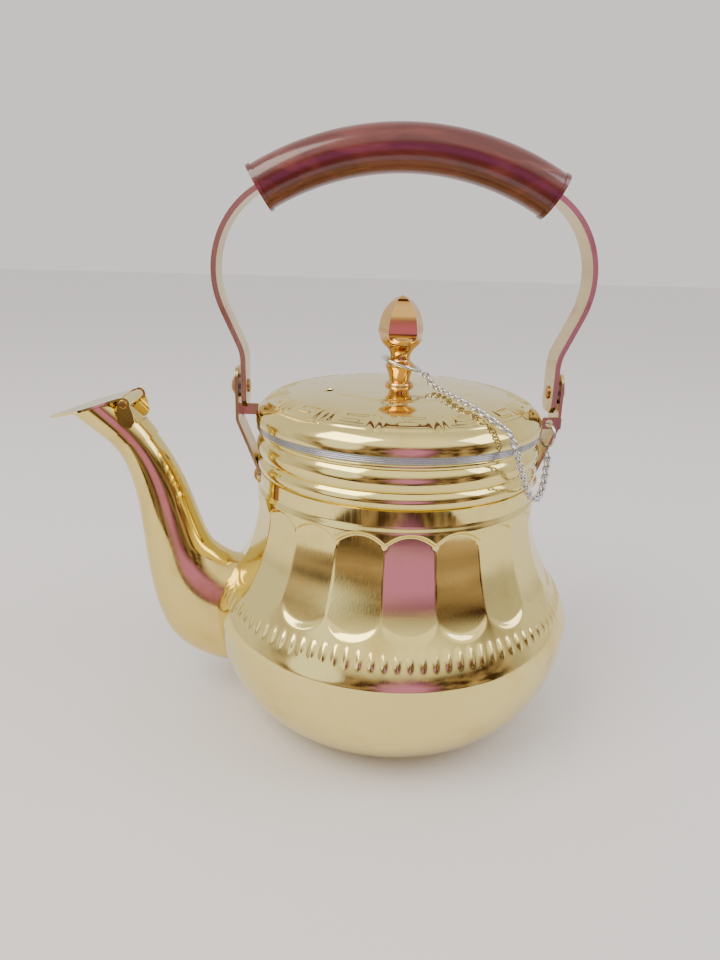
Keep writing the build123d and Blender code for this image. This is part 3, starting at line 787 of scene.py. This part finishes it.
@dataclass
class BudKnob:
    """The knob: a waisted stem under a bud that is cut to five ogive facets."""

    foot: float = 156.95
    height: float = 36.2
    facets: int = 5
    facet_from: float = 17.6
    facet_fade: float = 1.4
    columns: int = 100
    outline: tuple[tuple[float, float], ...] = (
        (4.4, 0.0),
        (5.2, 3.5),
        (6.4, 6.5),
        (5.0, 8.2),
        (4.2, 9.9),
        (5.3, 13.0),
        (8.3, 16.2),
        (9.9, 19.4),
        (10.2, 21.8),
        (9.3, 26.6),
        (7.9, 29.8),
        (5.9, 32.4),
        (3.2, 34.7),
        (0.4, 36.1),
    )

    def build(self) -> bpy.types.Object:
        """Make the knob; a facet is the chord of its share, r = R cos(half) / cos(off)."""
        table = np.array(self.outline)
        knots = np.linspace(0, 1, len(table))
        curve = natural_spline(knots, table, np.linspace(0, 1, 90))
        angles = round_angles(self.columns)
        half = pi / self.facets
        off = (angles + pi / 2 + half) % (2 * half) - half
        flat = cos(half) / np.cos(off)
        cut = smooth_step(curve[:, 1], self.facet_from, self.facet_from + self.facet_fade)[:, None]
        radius = curve[:, 0][:, None] * (1 - cut * (1 - flat[None, :]))
        z = np.broadcast_to(self.foot + curve[:, 1][:, None], radius.shape)
        rows = np.stack([radius * np.cos(angles), radius * np.sin(angles), z], -1)
        return skin("bud_knob", rows, poles=(True, True), sharp_degrees=24.0)


# ---------------------------------------------------------------- ring and chain
def tube(path: np.ndarray, radius: float, sides: int, start: np.ndarray) -> np.ndarray:
    """Rows of a round tube along an open path: centre + normal cos + binormal sin.

    Args:
        path: Points along the middle.
        radius: The tube's radius.
        sides: Points round it.
        start: A direction that isn't along the path, to measure the turns from.

    Returns:
        One row for each point of the path.
    """
    along = np.gradient(path, axis=0)
    along /= np.linalg.norm(along, axis=1)[:, None]
    side = np.cross(along, start)
    side /= np.linalg.norm(side, axis=1)[:, None]
    up = np.cross(along, side)
    turn = round_angles(sides)[None, :, None]
    return path[:, None] + radius * (side[:, None] * np.cos(turn) + up[:, None] * np.sin(turn))


@dataclass
class SplitRing:
    """A split ring: two turns of wire side by side through the lug's hole."""

    radius: float = 5.2
    wire: float = 0.85
    turn_degrees: float = 20.0

    def build(self) -> bpy.types.Object:
        """Make the helix: two turns whose axis is level, about the middle of its CAD box."""
        low, high = (Vector(corner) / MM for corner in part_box("split_ring"))
        middle = (np.array(low) + np.array(high)) / 2
        turn = radians(self.turn_degrees)
        along = np.array([-sin(turn), cos(turn), 0.0])
        axis = np.cross(along, (0.0, 0.0, 1.0))
        t = np.linspace(0, 4 * pi, 120)[:, None]
        shift = (t / (4 * pi) - 0.5) * self.wire
        path = middle + self.radius * (along * np.sin(t) + np.array([0, 0, 1.0]) * np.cos(t))
        return skin("split_ring_wire", tube(path + axis * shift, self.wire / 2, 10, axis), poles=(True, True))


@dataclass
class SafetyChain:
    """A curb chain from the knob's ring, over the lid and in a loop up to the split ring."""

    diameter: float = 3.5
    pitch: float = 2.5
    wire: float = 1.05
    slant_degrees: float = 34.0
    corner_share: float = 0.45
    route: tuple[tuple[float, float, float], ...] = (
        (10.6, -3.4, 160.6),
        (13.9, -10.0, 156.5),
        (17.6, -21.0, 156.1),
        (22.0, -33.5, 155.3),
        (28.3, -43.8, 153.0),
        (34.2, -49.6, 149.6),
        (38.3, -53.1, 147.0),
        (39.6, -53.6, 143.4),
        (40.9, -54.1, 139.8),
        (43.6, -52.6, 132.8),
        (46.6, -49.4, 125.6),
        (50.2, -45.0, 119.4),
        (54.6, -39.2, 115.8),
        (58.6, -32.0, 116.4),
        (61.9, -24.0, 119.8),
        (64.4, -16.8, 124.2),
        (66.0, -11.2, 128.0),
    )
    upright: tuple[float, float, float] = (0.3, 0.2, 1.0)
    look_ahead: float = 0.4
    leaves_lid: tuple[float, float, float] = (34.2, -49.6, 149.6)
    joins_vessel: tuple[float, float, float] = (50.2, -45.0, 119.4)

    def line(self) -> np.ndarray:
        """The route with each corner rounded by a quadratic curve over a share of the shorter run."""
        route = np.array(self.route)
        points = [route[0]]
        t = np.linspace(0, 1, 9)[:, None]
        for before, here, after in zip(route, route[1:], route[2:]):
            back, ahead = before - here, after - here
            run = self.corner_share * min(np.linalg.norm(back), np.linalg.norm(ahead))
            start = here + back / np.linalg.norm(back) * run
            end = here + ahead / np.linalg.norm(ahead) * run
            points += list((1 - t) ** 2 * start + 2 * t * (1 - t) * here + t**2 * end)
        return np.array(points + [route[-1]])

    def build(self) -> tuple[bpy.types.Object, np.ndarray, float]:
        """Make all the links as one mesh: ovals a pitch apart that slant left and right in turn.

        Returns:
            The piece, its middle line in metres, and that line's length in metres.
        """
        line = self.line()
        step = np.linalg.norm(np.diff(line, axis=0), axis=1)
        travel = np.concatenate([[0.0], np.cumsum(step)])
        links = int(travel[-1] / self.pitch)
        gap = travel[-1] / links
        turn = round_angles(20)
        round_wire = round_angles(7)
        half_long, half_wide = (gap + self.wire) / 2, (self.diameter - self.wire) / 2
        oval = np.stack([half_long * np.cos(turn), half_wide * np.sin(turn)], -1)
        points, faces = [], []
        index = np.arange(len(turn) * len(round_wire)).reshape(len(turn), -1)
        quads = np.stack(
            [index, np.roll(index, -1, 1), np.roll(np.roll(index, -1, 0), -1, 1), np.roll(index, -1, 0)], -1
        ).reshape(-1, 4)
        for k in range(links):
            at = (k + 0.5) * gap
            centre, ahead = (
                np.array([np.interp(at + more, travel, line[:, axis]) for axis in range(3)])
                for more in (0.0, self.look_ahead)
            )
            along = (ahead - centre) / np.linalg.norm(ahead - centre)
            side = np.cross(along, self.upright)
            side /= np.linalg.norm(side)
            up = np.cross(side, along)
            slant = radians(self.slant_degrees if k % 2 else -self.slant_degrees)
            flat = side * cos(slant) + up * sin(slant)
            normal = np.cross(along, flat)
            middle = centre + oval[:, :1] * along + oval[:, 1:] * flat
            out = middle - centre
            out /= np.linalg.norm(out, axis=1)[:, None]
            rows = middle[:, None] + self.wire / 2 * (
                out[:, None] * np.cos(round_wire)[None, :, None]
                + normal[None, None] * np.sin(round_wire)[None, :, None]
            )
            faces += (quads + len(points) * index.size).tolist()
            points.append(rows.reshape(-1, 3))
        piece = mesh_object("safety_chain", np.concatenate(points) * MM, faces, 60.0)
        return piece, line * MM, float(travel[-1]) * MM


# ---------------------------------------------------------------- stage, light and camera
@dataclass
class Studio:
    """A plain floor, a soft room and the camera."""

    floor_colour: str = "#E4E2E3"
    wall_colour: str = "#D8D3CF"
    ceiling_colour: str = "#FFFAF2"
    dark_furniture: str = "#3A2620"
    pale_furniture: str = "#B79C86"
    mauve: str = "#C67FD6"
    mauve_towards: tuple[float, float, float] = (0.12, -0.98, 0.02)
    pane: str = "#FFFFFF"
    pane_towards: tuple[float, float, float] = (-0.72, -0.66, 0.22)
    world_strength: float = 1.4
    floor_reach: float = 6.0
    floor_edge: float = -0.3
    lit_point: tuple[float, float, float] = (0.0, 0.0, 0.1)
    camera_at: tuple[float, float, float] = (-0.0241, -0.3034, 0.2096)
    yaw: float = 1.51
    pitch: float = -18.13
    roll: float = 1.60
    lens: float = 25.99
    sensor: float = 36.0

    def floor(self) -> None:
        """Lay a wide matt floor that ends a little way in front of the kettle."""
        mesh = bpy.data.meshes.new("floor")
        far, near = self.floor_reach, self.floor_edge
        corners = [(-far, near, 0), (far, near, 0), (far, far, 0), (-far, far, 0)]
        mesh.from_pydata(corners, [], [(0, 1, 2, 3)])
        floor = bpy.data.objects.new("floor", mesh)
        bpy.context.scene.collection.objects.link(floor)
        material, _, shader = new_material("stone_matt")
        shader.inputs["Base Color"].default_value = linear(self.floor_colour)
        shader.inputs["Roughness"].default_value = 0.55
        mesh.materials.append(material)

    def room(self) -> None:
        """Light the world: pale behind, a dark low front, one mauve patch and one bright pane."""
        world = bpy.data.worlds.new("room")
        bpy.context.scene.world = world
        world.use_nodes = True
        tree = world.node_tree
        background = tree.nodes["Background"]
        place = add_node(tree, "ShaderNodeTexCoord", {}).outputs["Generated"]
        apart = add_node(tree, "ShaderNodeSeparateXYZ", {"Vector": place})
        clutter = add_node(tree, "ShaderNodeTexNoise", {"Vector": place, "Scale": 5.0, "Detail": 3.0})
        furniture = ramp(tree, clutter.outputs["Fac"], 0.4, 0.66)
        low = mixed(tree, furniture, self.dark_furniture, self.pale_furniture)
        colour = mixed(tree, ramp(tree, apart.outputs["Z"], 0.3, 0.52), low, self.ceiling_colour)
        for hue, towards, start, end in (
            (self.mauve, self.mauve_towards, 0.38, 0.14),
            (self.pane, self.pane_towards, 0.34, 0.26),
        ):
            away = add_node(tree, "ShaderNodeVectorMath", {0: place, 1: towards}, operation="DISTANCE")
            colour = mixed(tree, ramp(tree, away.outputs["Value"], start, end), colour, hue)
        front = ramp(tree, apart.outputs["Y"], 0.05, -0.45)
        tree.links.new(mixed(tree, front, self.wall_colour, colour), background.inputs["Color"])
        background.inputs["Strength"].default_value = self.world_strength

    def soft_light(
        self, name: str, at: tuple[float, float, float], size: float, watts: float, colour: str
    ) -> None:
        """Hang a square soft light that faces the kettle's middle.

        Args:
            name: The light's name.
            at: Where it hangs, in metres.
            size: Side of its square, in metres.
            watts: Its power.
            colour: Its sRGB hex colour.
        """
        lamp = bpy.data.lights.new(name, "AREA")
        lamp.shape, lamp.size, lamp.energy = "SQUARE", size, watts
        lamp.color = linear(colour)[:3]
        light = bpy.data.objects.new(name, lamp)
        place = Vector(at)
        facing = (Vector(self.lit_point) - place).to_track_quat("-Z", "Y").to_matrix().to_4x4()
        light.matrix_world = Matrix.Translation(place) @ facing
        bpy.context.scene.collection.objects.link(light)

    def camera(self) -> None:
        """Set the camera from its place, yaw, pitch and roll."""
        data = bpy.data.cameras.new("camera")
        data.sensor_fit, data.sensor_height, data.lens = "VERTICAL", self.sensor, self.lens
        yaw, pitch, roll = (radians(a) for a in (self.yaw, self.pitch, self.roll))
        ahead = Vector((sin(yaw) * cos(pitch), cos(yaw) * cos(pitch), sin(pitch)))
        right = Vector((cos(yaw), -sin(yaw), 0))
        up = right.cross(ahead)
        x_axis = right * cos(roll) + up * sin(roll)
        y_axis = up * cos(roll) - right * sin(roll)
        turn = Matrix((x_axis, y_axis, -ahead)).transposed().to_4x4()
        camera = bpy.data.objects.new("camera", data)
        camera.matrix_world = Matrix.Translation(self.camera_at) @ turn
        bpy.context.scene.collection.objects.link(camera)
        bpy.context.scene.camera = camera

    def build(self) -> None:
        """Put up the floor, the room, the lights and the camera."""
        self.floor()
        self.room()
        self.soft_light("key", (-0.7, -0.5, 1.1), 0.8, 12.0, "#FFF6EA")
        self.soft_light("fill", (0.9, -0.2, 0.8), 0.6, 4.0, "#F4F2FF")
        self.camera()


# ---------------------------------------------------------------- dressing the frame's own pieces
FINISHES: dict[str, Metal | MarbledPlastic] = {
    "lower_bowl": SPUN_BRASS,
    "rim_band": TINNED_STEEL,
    "flap_pin": RIVET_BRASS,
    "left_bracket": STRIP_BRASS,
    "right_bracket": STRIP_BRASS,
    "left_foot_rivets": RIVET_BRASS,
    "right_foot_rivets": RIVET_BRASS,
    "left_pivot_rivet": RIVET_BRASS,
    "right_pivot_rivet": RIVET_BRASS,
    "left_spacer": PLAIN_STEEL,
    "right_spacer": PLAIN_STEEL,
    "bail_strap": STRIP_BRASS,
    "grip": GRIP_PLASTIC,
    "lid_collar": SPUN_BRASS,
    "knob_foot": KNOB_BRASS,
    "knob_washer": PLAIN_STEEL,
    "knob_screw": PLAIN_STEEL,
    "knob_ring": PLATED_WIRE,
    "spout_flap": SPUN_BRASS,
}


class Dresser:
    """Builds each finish once and gives it to pieces."""

    def __init__(self) -> None:
        """Start with no finish built."""
        self.made: dict[str, bpy.types.Material] = {}

    def give(self, piece: bpy.types.Object, finish: Metal | MarbledPlastic) -> None:
        """Put a finish in every slot of a piece, and add a slot if it has none."""
        if finish.name not in self.made:
            self.made[finish.name] = finish.material()
        material = self.made[finish.name]
        if not piece.material_slots:
            piece.data.materials.append(material)
        for slot in piece.material_slots:
            slot.material = material

    def dress(
        self,
        piece: bpy.types.Object,
        finish: Metal | MarbledPlastic,
        nodes: tuple[str, ...],
        body: str | None,
    ) -> None:
        """Give a new piece its finish, the nodes that it stands for and its body.

        Args:
            piece: The new piece.
            finish: Its finish.
            nodes: The frame's nodes that it replaces.
            body: The body that it rides on, or None to leave it on no body.
        """
        self.give(piece, finish)
        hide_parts(*nodes)
        if body:
            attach(piece, body)
        LOG.info("built %s for %s", piece.name, ", ".join(nodes))


def main() -> None:
    """Build every piece in order."""
    logging.basicConfig(level=logging.INFO)
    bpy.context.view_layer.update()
    dresser = Dresser()
    for name, finish in FINISHES.items():
        dresser.give(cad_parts[name], finish)
    shape = VesselShape()
    dresser.dress(FlutedBody(shape).build(), BODY_BRASS, ("upper_body",), "vessel")
    spout = SwanSpout(shape)
    dresser.dress(spout.build(), SPOUT_BRASS, ("spout",), "vessel")
    for piece in FlapSaddle(spout).build():
        dresser.dress(piece, SPOUT_BRASS, ("flap_saddle",), "vessel")
    dresser.dress(SplitRing().build(), PLATED_WIRE, ("split_ring",), "vessel")
    dresser.dress(PressedLid().build(), SPUN_BRASS, ("lid_shell",), "lid")
    dresser.dress(BudKnob().build(), KNOB_BRASS, ("knob",), "lid")
    chain = SafetyChain()
    links, line, length = chain.build()
    dresser.dress(links, PLATED_WIRE, ("chain_over_lid", "chain_hanging"), None)
    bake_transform(links)
    Studio().build()


if __name__ == "__main__":
    main()
